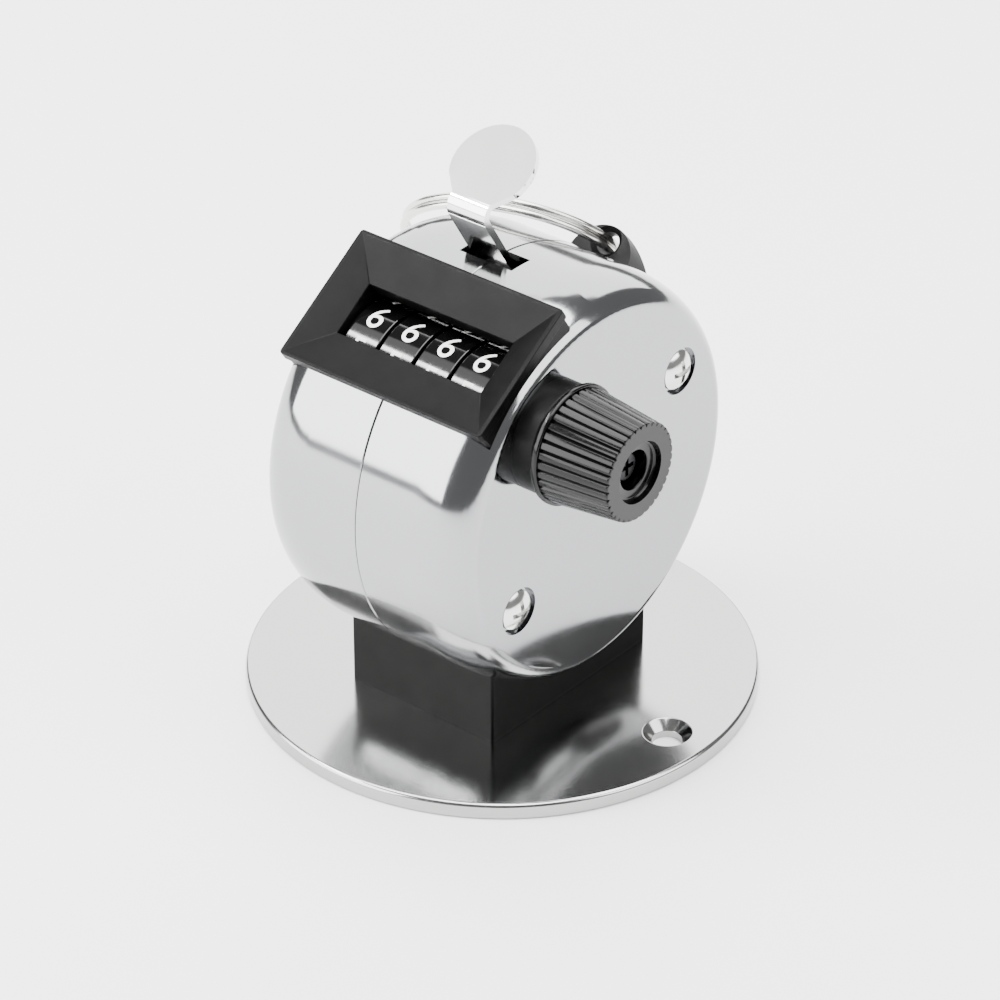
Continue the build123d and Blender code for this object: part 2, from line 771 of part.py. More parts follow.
with BuildPart() as knob_collar:
    with BuildSketch(yz(drum_half_width - collar_sink)):
        with Locations((shaft_y, shaft_z)):
            Circle(collar_radius)
    extrude(amount=collar_length + collar_sink)
    fillet(knob_collar.faces().sort_by(Axis.X)[-1].edges(), collar_round)
    add(drum_outside, mode=Mode.SUBTRACT)
    with BuildSketch(yz(plate_inner_x + plate_thickness + 2 * shell_clearance)):
        with Locations((shaft_y, shaft_z)):
            Circle(spigot_radius)
    extrude(amount=drum_half_width - plate_inner_x - plate_thickness)
    with BuildSketch(yz(plate_inner_x)):
        with Locations((shaft_y, shaft_z)):
            Circle(shaft_radius + running)
    extrude(amount=drum_half_width, mode=Mode.SUBTRACT)
knob_collar.part.label = "knob_collar"
export_step(knob_collar.part, "parts/knob_collar.step")

with BuildPart() as drum_shaft:
    with BuildSketch(yz(shaft_start_x)):
        with Locations((shaft_y, shaft_z)):
            Circle(shaft_radius)
    extrude(amount=pit_floor_x - shaft_start_x)
    chamfer(drum_shaft.faces().sort_by(Axis.X)[0].edges(), 0.15)
    with BuildSketch(yz(pit_floor_x - knob_screw_reach)):
        with Locations((shaft_y, shaft_z)):
            Circle(knob_screw_radius)
    extrude(amount=knob_screw_reach, mode=Mode.SUBTRACT)
    # the groove that picks the wheels up at reset
    with BuildSketch(yz(-plate_inner_x + 1)):
        with Locations((shaft_y, shaft_z - shaft_radius)):
            Rectangle(shaft_groove_width, 2 * shaft_groove_depth)
    extrude(amount=2 * plate_inner_x - 2, mode=Mode.SUBTRACT)
drum_shaft.part.label = "drum_shaft"
export_step(drum_shaft.part, "parts/drum_shaft.step")

with BuildPart() as shaft_clip:
    with BuildSketch(yz(shaft_start_x + clip_thickness / 2)):
        with Locations((shaft_y, shaft_z)):
            Circle(clip_radius)
            Circle(shaft_radius, mode=Mode.SUBTRACT)
        with Locations((shaft_y, shaft_z - (shaft_radius + clip_radius) / 2)):
            Rectangle(shaft_radius, clip_radius - shaft_radius / 2, mode=Mode.SUBTRACT)
    extrude(amount=clip_thickness)
shaft_clip.part.label = "shaft_clip"
export_step(shaft_clip.part, "parts/shaft_clip.step")

with BuildPart() as shaft_collar:
    with BuildSketch(yz(-plate_inner_x + end_play)):
        with Locations((shaft_y, shaft_z)):
            Circle(shaft_collar_radius)
            Circle(shaft_radius, mode=Mode.SUBTRACT)
    extrude(amount=plate_inner_x + wheel_xs[3] - wheel_width / 2 - 2 * end_play)
shaft_collar.part.label = "shaft_collar"
export_step(shaft_collar.part, "parts/shaft_collar.step")

with BuildPart() as reset_knob:
    with BuildSketch(yz(knob_x + flange_width)):
        with Locations((shaft_y, shaft_z)):
            Circle(knob_root_radius)
            with PolarLocations(knob_root_radius + flute_offset, flute_count):
                Circle(flute_depth + flute_offset, mode=Mode.SUBTRACT)
    with BuildSketch(yz(knob_end_x)):
        with Locations((shaft_y, shaft_z)):
            Circle(knob_end_radius)
            with PolarLocations(knob_end_radius + flute_offset, flute_count):
                Circle(flute_depth + 2 * flute_offset / 3, mode=Mode.SUBTRACT)
    loft(ruled=True)
    with BuildSketch(yz(knob_x)):
        with Locations((shaft_y, shaft_z)):
            Circle(flange_radius)
    extrude(amount=flange_width)
    with BuildSketch(yz(knob_x)):
        with Locations((shaft_y, shaft_z)):
            Circle(shaft_radius)
    extrude(amount=knob_length, mode=Mode.SUBTRACT)
    with BuildSketch(yz(pit_floor_x)):
        with Locations((shaft_y, shaft_z)):
            Circle(knob_pit_radius)
    extrude(amount=knob_pit_depth, mode=Mode.SUBTRACT)
    with BuildSketch(yz(knob_end_x - knob_dish_depth)):
        with Locations((shaft_y, shaft_z)):
            Circle(knob_dish_radius)
    extrude(amount=knob_dish_depth, mode=Mode.SUBTRACT)
reset_knob.part.label = "reset_knob"
export_step(reset_knob.part, "parts/reset_knob.step")

with BuildPart() as knob_screw:
    with BuildSketch(yz(pit_floor_x)):
        with Locations((shaft_y, shaft_z)):
            Circle(knob_screw_head)
    extrude(amount=knob_screw_height)
    fillet(knob_screw.faces().sort_by(Axis.X)[-1].edges(), knob_screw_round)
    with BuildSketch(yz(pit_floor_x - knob_screw_reach)):
        with Locations((shaft_y, shaft_z)):
            Circle(knob_screw_radius)
    extrude(amount=knob_screw_reach)
    with BuildSketch(yz(pit_floor_x + knob_screw_height)):
        with Locations((shaft_y, shaft_z)):
            Rectangle(knob_cross_width, knob_cross_length)
            Rectangle(knob_cross_length, knob_cross_width)
    extrude(amount=-knob_cross_width, mode=Mode.SUBTRACT)
knob_screw.part.label = "knob_screw"
export_step(knob_screw.part, "parts/knob_screw.step")

# ---------------------------------------------------------------- thumb lever
stem_up = Vector(0, -sin(radians(stem_lean)), cos(radians(stem_lean)))
pad_up = Vector(0, cos(radians(pad_slope)), sin(radians(pad_slope)))
# the stem's line and the pad's line cross at the bend
across = stem_up.Y * pad_up.Z - stem_up.Z * pad_up.Y
reach = ((pad_y - slot_y) * pad_up.Z - pad_height * pad_up.Y) / across
bend = Vector(0, slot_y, drum_top_z) + stem_up * reach
pad_reach = (Vector(0, pad_y, pad_z) - bend).length
stem_foot = Vector(0, slot_y, drum_top_z) - stem_up * (tab_drop / stem_up.Z)
tab_start_y = stem_foot.Y - 2 * sheet
lever_low_x = lever_x - lever_width / 2
pad_plane = Plane(
    origin=(lever_x, pad_y, pad_z),
    x_dir=(1, 0, 0),
    z_dir=(0, -sin(radians(pad_slope)), cos(radians(pad_slope))),
)

with BuildPart() as thumb_lever:
    with BuildSketch(yz(lever_low_x)):
        with BuildLine():
            FilletPolyline(
                (pivot_y + arm_start, pivot_z + sheet / 2),
                (stem_foot.Y, tab_z),
                (bend.Y, bend.Z),
                (bend.Y + pad_neck * pad_up.Y, bend.Z + pad_neck * pad_up.Z),
                radius=[elbow_radius, bend_radius],
            )
        trace(line_width=sheet)
        with Locations((tab_start_y, tab_z)):
            Rectangle(tab_reach - tab_start_y, sheet, align=(Align.MIN, Align.CENTER))
    extrude(amount=lever_width)
    with BuildSketch(pad_plane.offset(-sheet / 2)):
        Circle(pad_radius)
        with Locations((0, pad_neck - 1 - pad_reach)):
            Rectangle(lever_width, sheet)
        make_hull()
    extrude(amount=sheet)
    with BuildSketch(yz(lever_low_x)):
        with Locations((pivot_y, pivot_z)):
            Circle(lever_hub_radius)
    extrude(amount=ratchet_x + ratchet_thickness - lever_low_x)
    with BuildSketch(yz(lever_low_x)):
        with Locations((pivot_y, pivot_z)):
            Circle(pivot_radius + running)
    extrude(amount=2 * plate_inner_x, mode=Mode.SUBTRACT)
thumb_lever.part.label = "thumb_lever"
export_step(thumb_lever.part, "parts/thumb_lever.step")

to_shaft = Vector(0, shaft_y - pivot_y, shaft_z - pivot_z)
pawl_reach = to_shaft.length - ratchet_tip_radius - pawl_clearance
pawl_plane = Plane(
    origin=(ratchet_x + end_play, pivot_y, pivot_z), x_dir=to_shaft, z_dir=(1, 0, 0)
)
with BuildPart() as drive_pawl:
    with BuildSketch(pawl_plane):
        Circle(lever_hub_radius + pawl_width / 2)
        with Locations((pawl_reach / 2, 0)):
            Rectangle(pawl_reach, pawl_width)
        Circle(lever_hub_radius, mode=Mode.SUBTRACT)
    extrude(amount=ratchet_thickness - 2 * end_play)
drive_pawl.part.label = "drive_pawl"
export_step(drive_pawl.part, "parts/drive_pawl.step")

spring_top_z = tab_z - sheet / 2
spring_height = spring_top_z - seat_top_z - spring_wire
with BuildPart() as lever_spring:
    with BuildLine():
        coil = Helix(
            spring_height / spring_turns,
            spring_height,
            spring_radius,
            center=(lever_x, spring_y, seat_top_z + spring_wire / 2),
        )
    with BuildSketch(Plane(origin=coil @ 0, z_dir=coil % 0)):
        Circle(spring_wire / 2 - 0.005)
    sweep(path=coil, is_frenet=True)
lever_spring.part.label = "lever_spring"
export_step(lever_spring.part, "parts/lever_spring.step")

# ---------------------------------------------------------------- ring lug and split ring
foot_middle = lug_seat - forward * (lug_length / 2)
with BuildPart(mode=Mode.PRIVATE) as lug_foot:
    # a foot inside the case keeps the clamped neck from pulling out
    with BuildSketch(
        Plane(
            origin=foot_middle - out * (wall + lug_foot_thickness + 0.3),
            x_dir=(1, 0, 0),
            z_dir=out,
        )
    ):
        Rectangle(lug_foot_width, lug_foot_width)
    extrude(amount=lug_foot_thickness + wall)
    with BuildSketch(yz(-lug_foot_width)):
        with Locations((drum_y, drum_z)):
            Circle(inner_radius - 0.03)
    extrude(amount=2 * lug_foot_width, mode=Mode.INTERSECT)
    add(neck_solid)

with BuildPart() as ring_lug:
    with BuildSketch(lug_plane):
        Circle(lug_radius)
        with Locations((0, -lug_skirt / 2)):
            Rectangle(2 * lug_radius, lug_skirt)
        with Locations((0, -lug_radius / 2 - lug_skirt)):
            Rectangle(4 * lug_radius, lug_radius, mode=Mode.SUBTRACT)
    extrude(amount=-lug_length)
    # the back slopes down to the case
    with BuildSketch(Plane(origin=lug_seat, x_dir=-forward, z_dir=(1, 0, 0))):
        with BuildLine():
            Polyline(
                (lug_flat, lug_radius),
                (lug_length, 0.0),
                (lug_length + 3, 0.0),
                (lug_length + 3, lug_radius + 1),
                (lug_flat, lug_radius + 1),
                close=True,
            )
        make_face()
    extrude(amount=lug_radius + 1, both=True, mode=Mode.SUBTRACT)
    with BuildSketch(yz(-2 * lug_radius)):
        with Locations((drum_y, drum_z)):
            Circle(drum_radius)
    extrude(amount=4 * lug_radius, mode=Mode.SUBTRACT)
    add(lug_foot.part)
    with BuildSketch(lug_plane):
        with Locations((0, lug_bore_height)):
            Circle(lug_bore_radius)
    extrude(amount=-lug_length, mode=Mode.SUBTRACT)
    with BuildSketch(lug_plane):
        with Locations((0, lug_bore_height)):
            Circle(lug_bore_radius + lug_bevel)
    extrude(amount=-lug_bevel, taper=45, mode=Mode.SUBTRACT)
ring_lug.part.label = "ring_lug"
export_step(ring_lug.part, "parts/ring_lug.step")

bore_middle = lug_seat + out * lug_bore_height - forward * ring_set_back
ring_height = ring_pitch * ring_turns


def towards_centre_at(droop):
    """The direction from the lug's bore to the ring's centre, at an angle below the tangent plane."""
    return Vector(-cos(radians(droop)), 0, 0) - out * sin(radians(droop))


def gap_to_case(place):
    """About how far a place stands outside the case, from the ellipse of the shoulder."""
    radial = ((place.Y - drum_y) ** 2 + (place.Z - drum_z) ** 2) ** 0.5
    along = max(abs(place.X) - drum_half_width + shoulder_along, 0)
    inside = max(radial - drum_radius + shoulder_in, 0)
    if along >= shoulder_along:
        return abs(place.X) - drum_half_width
    return (((along / shoulder_along) ** 2 + (inside / shoulder_in) ** 2) ** 0.5 - 1) * shoulder_in


def ring_gap(droop):
    """The smallest gap between the case and the ring's two edges, away from the lug."""
    to_centre = towards_centre_at(droop)
    normal = forward.cross(to_centre)
    gaps = []
    for turn in range(-130, 131, 5):
        arm = to_centre * cos(radians(turn)) + forward * sin(radians(turn))
        for side in (-1, 1):
            edge = normal * (side * (ring_height + ring_wire) / 2)
            gaps.append(gap_to_case(bore_middle + (to_centre + arm) * ring_radius + edge))
    return min(gaps)


# the ring leans on the shoulder: a wider case holds it up more
droop = ring_droop
while ring_gap(droop) < ring_clearance and droop > 0:
    droop -= 0.5
towards_centre = towards_centre_at(droop)
ring_centre = bore_middle + towards_centre * ring_radius
ring_normal = forward.cross(towards_centre)
ring_plane = Plane(
    origin=ring_centre - ring_normal * (ring_height / 2),
    x_dir=towards_centre,
    z_dir=ring_normal,
)
turns = Helix(ring_pitch, ring_height, ring_radius).moved(ring_plane.location)
with BuildPart() as split_ring:
    with BuildSketch(Plane(origin=turns @ 0, z_dir=turns % 0)):
        Circle(ring_wire / 2)
    sweep(path=turns, is_frenet=True)
split_ring.part.label = "split_ring"
export_step(split_ring.part, "parts/split_ring.step")
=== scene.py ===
# %% [markdown]
# # A hand tally counter on a round base
# The counter is pressed from thin plated steel: two cups meet on a seam and make a short drum, which
# stands on a moulded pedestal over a turned base plate. A window shows four number wheels, a knob on
# the right clears them, a thumb lever on top counts, and a split ring hangs from a lug at the back.
# The CAD frame gives every place and size here, so the looks sit exactly on the engineering.

# %% Load the frame
import math

import bpy
from mathutils import Matrix, Vector


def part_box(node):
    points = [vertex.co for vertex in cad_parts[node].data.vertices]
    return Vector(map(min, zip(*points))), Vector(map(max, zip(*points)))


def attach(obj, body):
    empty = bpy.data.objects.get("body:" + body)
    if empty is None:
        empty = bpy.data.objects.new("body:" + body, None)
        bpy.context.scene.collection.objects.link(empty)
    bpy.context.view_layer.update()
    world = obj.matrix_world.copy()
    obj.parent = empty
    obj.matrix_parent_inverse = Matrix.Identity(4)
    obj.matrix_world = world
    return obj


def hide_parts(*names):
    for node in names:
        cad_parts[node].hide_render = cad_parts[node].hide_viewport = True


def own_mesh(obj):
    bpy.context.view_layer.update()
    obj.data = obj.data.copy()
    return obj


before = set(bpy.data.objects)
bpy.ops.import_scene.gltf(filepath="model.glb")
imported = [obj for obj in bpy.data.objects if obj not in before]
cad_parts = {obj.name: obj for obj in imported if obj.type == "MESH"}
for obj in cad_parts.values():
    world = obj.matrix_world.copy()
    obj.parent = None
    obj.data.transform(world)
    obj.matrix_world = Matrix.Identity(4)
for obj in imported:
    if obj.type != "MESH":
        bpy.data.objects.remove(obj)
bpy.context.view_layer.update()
MM = 0.001

# %% [markdown]
# ## The places that everything else is hung on
# The drum's axis and the wheels' shaft come from the boxes of the CAD nodes; the window's slope is given.

# %% Places and directions
shell_lo, shell_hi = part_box("right_shell")
drum_y = (shell_lo.y + shell_hi.y) / 2
drum_radius = (shell_hi.y - shell_lo.y) / 2
drum_z = shell_lo.z + drum_radius
drum_half = shell_hi.x
wheel_lo, wheel_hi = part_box("units_wheel")
wheel_radius = (wheel_hi.y - wheel_lo.y) / 2
wheel_width = wheel_hi.x - wheel_lo.x
shaft = Vector((0, (wheel_lo.y + wheel_hi.y) / 2, (wheel_lo.z + wheel_hi.z) / 2))
window_slope = math.radians(34)
window_out = Vector((0, -math.sin(window_slope), math.cos(window_slope)))
window_up = Vector((0, math.cos(window_slope), math.sin(window_slope)))
print("drum radius", round(drum_radius / MM, 2), "mm, wheels", round(wheel_radius / MM, 2), "mm on", shaft)


# %% [markdown]
# ## Tools for modelling
# A turned part starts as a disc, and each station of its profile is one more extrusion of that disc,
# scaled to the station's radius. Corners of a profile are rounded here, as a lathe tool or a press
# would round them. A moulded or cut opening is an exact boolean. Every finished piece is shaded
# smooth by angle, with normals weighted by face so that flats stay flat right up to their edges.

# %% Modelling helpers
def only(obj):
    """Makes obj the one selected and active object."""
    for other in bpy.context.selected_objects:
        other.select_set(False)
    obj.select_set(True)
    bpy.context.view_layer.objects.active = obj
    return obj


def rounded(corners, steps=5):
    """Points of a path whose corners (a, b, radius) are rounded by arcs of that radius."""
    points = []
    for index, (a, b, radius) in enumerate(corners):
        here = Vector((a, b))
        before = Vector(corners[index - 1][:2]) - here
        after = Vector(corners[(index + 1) % len(corners)][:2]) - here
        if radius <= 0 or before.length < 1e-9 or after.length < 1e-9:
            points.append(here)
            continue
        half = before.angle(after) / 2
        centre = here + (before.normalized() + after.normalized()).normalized() * radius / math.sin(half)
        start = here + before.normalized() * radius / math.tan(half) - centre
        end = here + after.normalized() * radius / math.tan(half) - centre
        turn = start.angle_signed(end)
        for step in range(steps + 1):
            spin = Matrix.Rotation(-turn * step / steps, 2)
            points.append(centre + spin @ start)
    return points


def turned(name, profile, segments, place):
    """A solid of revolution: profile is (radius, height) pairs in metres from one end cap to the other."""
    only(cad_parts["base_plate"]).select_set(False)
    bpy.ops.mesh.primitive_circle_add(vertices=segments, radius=profile[0][0], fill_type="NGON")
    obj = bpy.context.object
    obj.name = name
    bpy.ops.object.mode_set(mode="EDIT")
    bpy.ops.mesh.select_all(action="SELECT")
    bpy.ops.transform.translate(value=(0, 0, profile[0][1]))
    for (r0, h0), (r1, h1) in zip(profile, profile[1:]):
        bpy.ops.mesh.extrude_region_move(TRANSFORM_OT_translate={"value": (0, 0, h1 - h0)})
        k = r1 / r0
        bpy.ops.transform.resize(value=(k, k, 1), center_override=(0, 0, h1))
    bpy.ops.mesh.select_all(action="SELECT")
    bpy.ops.mesh.normals_make_consistent(inside=False)
    bpy.ops.object.mode_set(mode="OBJECT")
    obj.data.transform(place)
    return obj


def bar(name, outline, low, high, place):
    """A prism: the outline's points (x, y) are strung into a face and extruded from low to high."""
    mesh = bpy.data.meshes.new(name)
    mesh.from_pydata([(x, y, low) for x, y in outline], [], [list(range(len(outline)))])
    obj = bpy.data.objects.new(name, mesh)
    bpy.context.scene.collection.objects.link(obj)
    only(obj)
    bpy.ops.object.mode_set(mode="EDIT")
    bpy.ops.mesh.select_all(action="SELECT")
    bpy.ops.mesh.extrude_region_move(TRANSFORM_OT_translate={"value": (0, 0, high - low)})
    bpy.ops.mesh.select_all(action="SELECT")
    bpy.ops.mesh.normals_make_consistent(inside=False)
    bpy.ops.object.mode_set(mode="OBJECT")
    obj.data.transform(place)
    return obj


def apply(obj, kind, **settings):
    """Adds one modifier with these settings and applies it."""
    only(obj)
    modifier = obj.modifiers.new(kind, kind)
    for key, value in settings.items():
        setattr(modifier, key, value)
    bpy.ops.object.modifier_apply(modifier=modifier.name)
    return obj


def cut(obj, *cutters, operation="DIFFERENCE"):
    """Takes the cutters out of obj, or keeps what they share, and clears the cutters away."""
    for cutter in cutters:
        apply(obj, "BOOLEAN", operation=operation, solver="EXACT", object=cutter)
        bpy.data.objects.remove(cutter)
    return obj


def smoothed(obj, angle=35):
    """Merges doubles, faces everything outward and gives the face-weighted smooth shading."""
    only(obj)
    bpy.ops.object.mode_set(mode="EDIT")
    bpy.ops.mesh.select_all(action="SELECT")
    bpy.ops.mesh.remove_doubles(threshold=1e-7)
    bpy.ops.mesh.normals_make_consistent(inside=False)
    bpy.ops.object.mode_set(mode="OBJECT")
    bpy.ops.object.shade_smooth_by_angle(angle=math.radians(angle))
    apply(obj, "WEIGHTED_NORMAL", keep_sharp=True)
    print(obj.name, len(obj.data.polygons), "faces,", [round(v / MM, 2) for v in obj.dimensions], "mm")
    return obj


def shown(obj, body, material, slot, *nodes):
    """Finishes a piece: its material, the body that it moves with and the CAD nodes it stands for."""
    obj.data.materials.clear()
    obj.data.materials.append(material)
    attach(obj, body)
    if nodes:
        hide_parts(*nodes)
    return obj


ALONG_X = Matrix.Rotation(math.radians(90), 4, "Y")

# %% [markdown]
# ## Tools for finishes
# Every finish is worked out in the object's own coordinates, in millimetres, so a pattern keeps its
# real size and moves with the piece. Each one varies its roughness and carries a fine relief.

# %% Material helpers
def srgb(code):
    """The linear colour of an sRGB hex code."""
    values = [int(code[i:i + 2], 16) / 255 for i in (0, 2, 4)]
    return [v / 12.92 if v <= 0.04045 else ((v + 0.055) / 1.055) ** 2.4 for v in values] + [1.0]


def add(mat, kind, inputs=None, **settings):
    """Adds one node, sets its options, and links or fills its inputs."""
    node = mat.node_tree.nodes.new(kind)
    for key, value in settings.items():
        setattr(node, key, value)
    for key, value in (inputs or {}).items():
        if isinstance(value, bpy.types.NodeSocket):
            mat.node_tree.links.new(value, node.inputs[key])
        else:
            node.inputs[key].default_value = value
    return node


def new_finish(name, colour, metallic, **constants):
    """A Principled material and its coordinates in millimetres."""
    mat = bpy.data.materials.new(name)
    mat.use_nodes = True
    shader = mat.node_tree.nodes["Principled BSDF"]
    shader.inputs["Base Color"].default_value = srgb(colour)
    shader.inputs["Metallic"].default_value = metallic
    for key, value in constants.items():
        shader.inputs[key.replace("_", " ")].default_value = value
    place = add(mat, "ShaderNodeTexCoord").outputs["Object"]
    mm = add(mat, "ShaderNodeVectorMath", {0: place, "Scale": 1 / MM}, operation="SCALE").outputs[0]
    return mat, shader, mm


def lumps(mat, mm, size, drawn=(1, 1, 1), detail=3.0):
    """Noise with lumps of this size in millimetres, drawn out along an axis where drawn is over 1."""
    scale = [1 / (size * d) for d in drawn]
    at = add(mat, "ShaderNodeVectorMath", {0: mm, 1: scale}, operation="MULTIPLY").outputs[0]
    return add(mat, "ShaderNodeTexNoise", {"Vector": at, "Scale": 1.0, "Detail": detail}).outputs[0]


def rings(mat, mm, centre, across, size):
    """Noise that runs in circles about an axis, as a lathe or a polishing wheel leaves it."""
    off = add(mat, "ShaderNodeVectorMath", {0: mm, 1: [-c / MM for c in centre]}, operation="ADD")
    flat = add(mat, "ShaderNodeVectorMath", {0: off.outputs[0], 1: across}, operation="MULTIPLY")
    far = add(mat, "ShaderNodeVectorMath", {0: flat.outputs[0]}, operation="LENGTH").outputs["Value"]
    w = add(mat, "ShaderNodeMath", {0: far, 1: 1 / size}, operation="MULTIPLY").outputs[0]
    return add(mat, "ShaderNodeTexNoise", {"W": w, "Scale": 1.0, "Detail": 4.0},
               noise_dimensions="1D").outputs[0]


def between(mat, value, low, high):
    """Spreads noise over low to high."""
    return add(mat, "ShaderNodeMapRange", {"Value": value, "From Min": 0.3, "From Max": 0.7,
                                           "To Min": low, "To Max": high}).outputs[0]


def mixed(mat, first, second, share):
    """share of the second value and the rest of the first."""
    return add(mat, "ShaderNodeMix", {"Factor": share, "A": first, "B": second}).outputs[0]


def relief(mat, shader, height, depth):
    """A bump whose full height is depth in millimetres."""
    bump = add(mat, "ShaderNodeBump", {"Height": height, "Distance": depth * MM, "Strength": 1.0})
    mat.node_tree.links.new(bump.outputs[0], shader.inputs["Normal"])


def rough(mat, shader, value):
    mat.node_tree.links.new(value, shader.inputs["Roughness"])


# %% [markdown]
# ## Plated steel
# The case is deep drawn from steel strip, polished and plated with nickel and a flash of chrome. The
# draw leaves a slight waviness under the mirror, and the mop leaves hairlines round the drum.

# %% Case chrome
def case_chrome():
    mat, shader, mm = new_finish("drawn_steel_polished_and_chrome_plated", "9B9C9E", 1.0)
    wave = lumps(mat, mm, 6.0)
    mop = rings(mat, mm, (0, drum_y, drum_z), (0, 1, 1), 0.12)
    smear = lumps(mat, mm, 9.0, (1, 1, 1), 2.0)
    rough(mat, shader, between(mat, mixed(mat, mop, smear, 0.6), 0.07, 0.12))
    relief(mat, shader, mixed(mat, wave, mop, 0.04), 0.004)
    return mat


case_metal = case_chrome()

# %% [markdown]
# The base is turned from bar, so its plating lies over faint rings about the upright axis. It is a
# little softer than the case, which spreads the reflection of the pedestal.

# %% Base steel
def base_steel():
    mat, shader, mm = new_finish("turned_steel_satin_nickel_plated", "ABABAA", 1.0)
    lathe = rings(mat, mm, (0, 0, 0), (1, 1, 0), 0.10)
    cloud = lumps(mat, mm, 4.0)
    rough(mat, shader, between(mat, mixed(mat, lathe, cloud, 0.5), 0.12, 0.19))
    relief(mat, shader, mixed(mat, cloud, lathe, 0.3), 0.0016)
    return mat


base_metal = base_steel()

# %% [markdown]
# The lever is blanked and bent from strip before it is plated, so its mirror is cleaner than the
# case's and only a few long draw lines show along the strip.

# %% Lever chrome
def lever_chrome():
    mat, shader, mm = new_finish("bent_strip_bright_chrome_plated", "E4E4E3", 1.0)
    draw = lumps(mat, mm, 0.12, (1, 30, 30))
    cloud = lumps(mat, mm, 3.0)
    rough(mat, shader, between(mat, mixed(mat, draw, cloud, 0.5), 0.08, 0.14))
    relief(mat, shader, mixed(mat, cloud, draw, 0.1), 0.0015)
    return mat


lever_metal = lever_chrome()

# %% [markdown]
# The screws are barrel plated: they tumble together in the bath, which leaves tiny dents and a
# mirror that is slightly grained.

# %% Screw and ring finishes
def barrel_plated(name, colour, size, low, high, depth):
    mat, shader, mm = new_finish(name, colour, 1.0)
    dents = add(mat, "ShaderNodeTexVoronoi", {"Vector": mm, "Scale": 1 / size}).outputs["Distance"]
    cloud = lumps(mat, mm, size * 4)
    rough(mat, shader, between(mat, cloud, low, high))
    relief(mat, shader, mixed(mat, dents, cloud, 0.5), depth)
    return mat


screw_metal = barrel_plated("barrel_plated_bright_screws", "DCDCDA", 0.5, 0.10, 0.18, 0.002)
ring_metal = barrel_plated("coiled_wire_nickel_plated", "D2D1CD", 0.35, 0.14, 0.24, 0.002)
zinc_metal = barrel_plated("pressed_steel_clear_zinc_plated", "A9ACAE", 0.25, 0.28, 0.42, 0.004)
black_screw = barrel_plated("machine_screw_black_zinc_plated", "2B2B2D", 0.2, 0.26, 0.4, 0.003)

# %% [markdown]
# ## Spring steel and brass
# The spring is wound from hard drawn wire and left oiled, so it is darker, with lines along the wire.
# The ratchet and the collar on the shaft are turned brass, left bare, with clear tool rings.

# %% Spring steel and brass
def drawn_wire():
    mat, shader, mm = new_finish("hard_drawn_spring_wire_oiled", "7E8084", 1.0)
    lines = lumps(mat, mm, 0.08, (4, 4, 1))
    film = lumps(mat, mm, 1.5)
    rough(mat, shader, between(mat, mixed(mat, lines, film, 0.4), 0.22, 0.38))
    relief(mat, shader, lines, 0.003)
    return mat


def turned_brass():
    mat, shader, mm = new_finish("free_cutting_brass_turned", "C9A75C", 1.0)
    tool = rings(mat, mm, shaft, (0, 1, 1), 0.07)
    stain = lumps(mat, mm, 1.2)
    rough(mat, shader, between(mat, mixed(mat, tool, stain, 0.4), 0.18, 0.34))
    relief(mat, shader, tool, 0.003)
    return mat


spring_metal = drawn_wire()
brass_metal = turned_brass()

# %% [markdown]
# ## Mouldings
# The pedestal, the window frame, the knob's collar and the ring's lug are moulded in black nylon in a
# spark-finished tool: a fine even grain that breaks up the reflection. The knob's tool is polished,
# so the knob is glossy, and so are the wheels, which carry a line of light below their figures.

# %% Mouldings
def moulded(name, colour, grain, low, high, depth, **constants):
    mat, shader, mm = new_finish(name, colour, 0.0, **constants)
    pits = add(mat, "ShaderNodeTexVoronoi", {"Vector": mm, "Scale": 1 / grain}).outputs["Distance"]
    flow = lumps(mat, mm, 2.5)
    rough(mat, shader, between(mat, mixed(mat, pits, flow, 0.6), low, high))
    relief(mat, shader, mixed(mat, pits, flow, 0.5), depth)
    return mat


grained_black = moulded("black_nylon_spark_grained", "040404", 0.09, 0.32, 0.46, 0.003,
                       Specular_IOR_Level=0.1)
glossy_black = moulded("black_abs_moulded_glossy", "030303", 0.3, 0.14, 0.22, 0.0016,
                      Specular_IOR_Level=0.25)
wheel_black = moulded("black_wheel_moulded_polished_tool", "030303", 0.4, 0.07, 0.11, 0.0004,
                     Specular_IOR_Level=0.5)
acetal_white = moulded("natural_acetal_moulded", "DAD9D2", 0.2, 0.35, 0.5, 0.003, Subsurface_Weight=0.1,
                       Subsurface_Scale=0.0005)

# %% [markdown]
# The figures are hot stamped: a white foil is pressed into the wheel, so each figure is nearly flush,
# dull beside the wheel, with a faint tooth in its surface.

# %% Figure foil
def stamped_foil():
    mat, shader, mm = new_finish("white_hot_stamped_foil", "F1F1EE", 0.0)
    tooth = lumps(mat, mm, 0.06)
    wear = lumps(mat, mm, 0.8)
    rough(mat, shader, between(mat, mixed(mat, tooth, wear, 0.5), 0.4, 0.6))
    relief(mat, shader, tooth, 0.004)
    return mat


figure_white = stamped_foil()

# %% [markdown]
# ## Finishes on the frame's own parts
# The mechanism behind the window and under the lever keeps its CAD shapes: each node takes the
# finish that its maker would give it.

